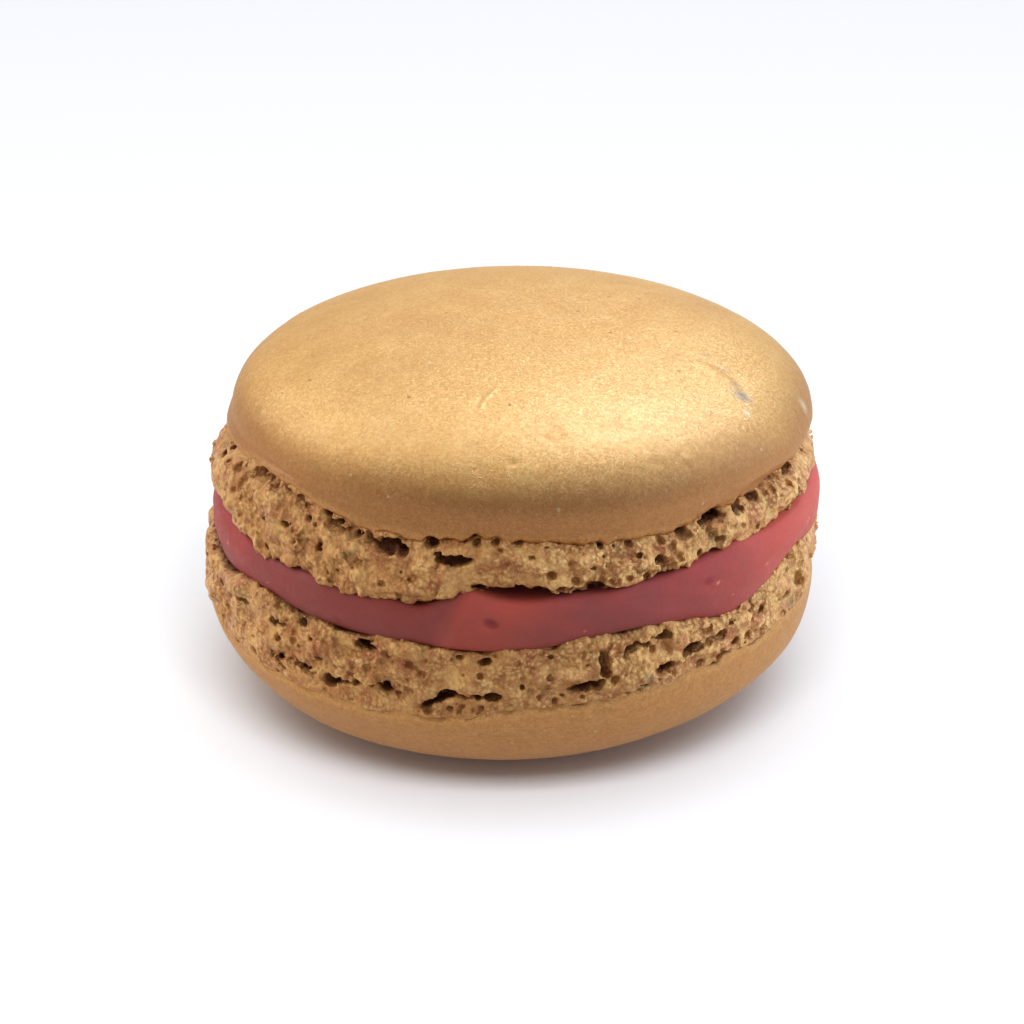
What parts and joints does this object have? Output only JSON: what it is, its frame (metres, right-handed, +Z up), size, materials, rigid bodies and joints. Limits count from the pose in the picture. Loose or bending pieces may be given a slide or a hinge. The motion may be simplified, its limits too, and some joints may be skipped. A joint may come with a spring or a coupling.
{
  "type": "macaron",
  "caption": "Gold-lustred macaron: a round sandwich biscuit of domed almond shells with craggy feet, held together by a pink-red filling.",
  "frame": {"origin": "middle of the base, on the surface that the biscuit stands on", "axes": "+Z up through the middle of both shells, +X to the right and -Y towards the viewer of the picture"},
  "size_m": [0.0452, 0.045, 0.0298],
  "materials": {
    "gold_shell": "baked almond shell brushed with gold lustre, satin metallic on the domes and porous on the feet",
    "filling": "smooth satin pink-red filling"
  },
  "bodies": {
    "root": {"upper_shell": "gold_shell", "filling": "filling", "lower_shell": "gold_shell"}
  },
  "joints": []
}
